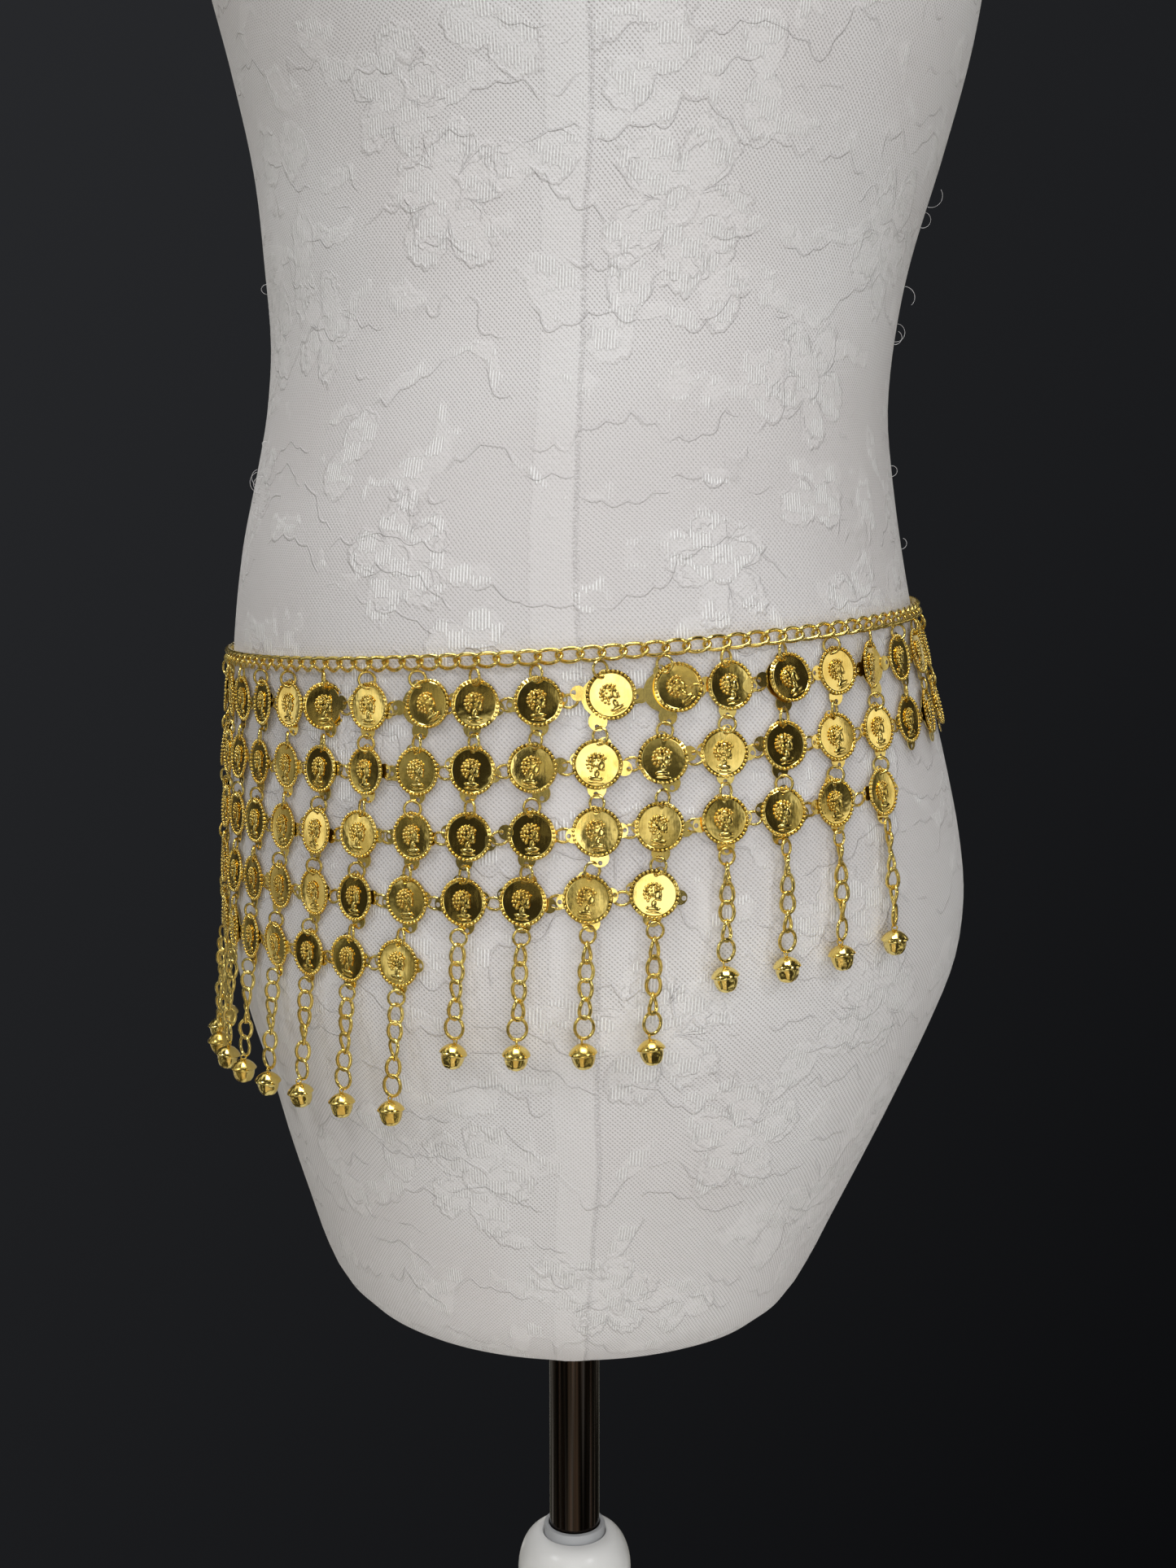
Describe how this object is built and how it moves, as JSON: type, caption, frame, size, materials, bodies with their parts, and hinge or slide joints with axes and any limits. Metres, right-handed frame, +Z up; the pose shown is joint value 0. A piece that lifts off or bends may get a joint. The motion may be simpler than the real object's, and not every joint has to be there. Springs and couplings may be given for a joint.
{
  "type": "coin waist chain on a limbless dress form",
  "caption": "Waist chain with a stepped net of stamped coins and bell drops, worn on a smooth limbless dress form with a pedestal stand.",
  "frame": {"origin": "centre of the pedestal's flat underside, on the stand's axis", "axes": "+Z up along the stand, -Y to the figure's front, +X to the figure's left"},
  "size_m": [0.344, 0.318, 1.072],
  "materials": {
    "gold_plate": "bright gold plating on stamped and wire brass",
    "form_cover": "off-white stretch lace over fine knit",
    "dark_tube": "black chrome, glossy",
    "grey_plastic": "satin moulded plastic",
    "white_plastic": "glossy moulded plastic"
  },
  "bodies": {
    "root": {"waist_chain": "gold_plate", "chain_hook": "gold_plate", "chain_end_ring": "gold_plate", "coin_column_01": "gold_plate", "coin_column_02": "gold_plate", "coin_column_03": "gold_plate", "coin_column_04": "gold_plate", "coin_column_05": "gold_plate", "coin_column_06": "gold_plate", "coin_column_07": "gold_plate", "coin_column_08": "gold_plate", "coin_column_09": "gold_plate", "coin_column_10": "gold_plate", "coin_column_11": "gold_plate", "coin_column_12": "gold_plate", "coin_column_13": "gold_plate", "coin_column_14": "gold_plate", "coin_column_15": "gold_plate", "coin_column_16": "gold_plate", "coin_column_17": "gold_plate", "coin_column_18": "gold_plate", "coin_column_19": "gold_plate", "coin_column_20": "gold_plate", "coin_column_21": "gold_plate", "coin_column_22": "gold_plate", "coin_column_23": "gold_plate", "coin_column_24": "gold_plate", "coin_column_25": "gold_plate", "coin_column_26": "gold_plate", "coin_column_27": "gold_plate", "coin_column_28": "gold_plate", "coin_column_29": "gold_plate", "coin_column_30": "gold_plate", "coin_column_31": "gold_plate", "coin_column_32": "gold_plate", "coin_column_33": "gold_plate", "dress_form": "form_cover", "stand_pole": "dark_tube", "stand_socket_ring": "grey_plastic", "stand_pedestal": "white_plastic"}
  },
  "joints": []
}
